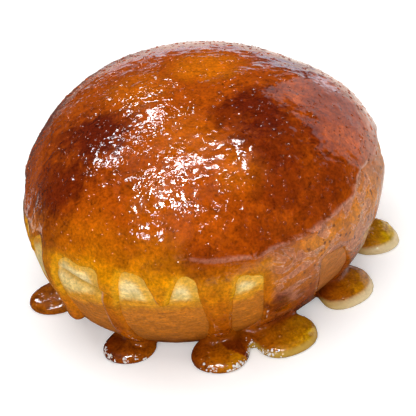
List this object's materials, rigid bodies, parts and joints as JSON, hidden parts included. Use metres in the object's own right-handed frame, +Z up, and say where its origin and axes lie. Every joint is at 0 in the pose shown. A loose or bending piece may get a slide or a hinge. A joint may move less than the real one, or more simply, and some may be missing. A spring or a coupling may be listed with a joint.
{
  "type": "filled doughnut with caramel glaze",
  "caption": "Round filled doughnut without a hole, its brown dome under a caramel glaze that drips down the pale ring and sets in small pools round the foot.",
  "frame": {"origin": "middle of the bottom of the whole doughnut with its pools, on the surface that it stands on", "axes": "+Z up; -Y towards the side that the picture shows; +X to the right seen from there"},
  "size_m": [0.0944, 0.0946, 0.0498],
  "materials": {
    "dough": "soft fried crust, brown below and above a pale ring",
    "caramel": "clear amber caramel, glossy and finely wrinkled"
  },
  "bodies": {
    "root": {"dough": "dough", "caramel_glaze": "caramel"}
  },
  "joints": []
}
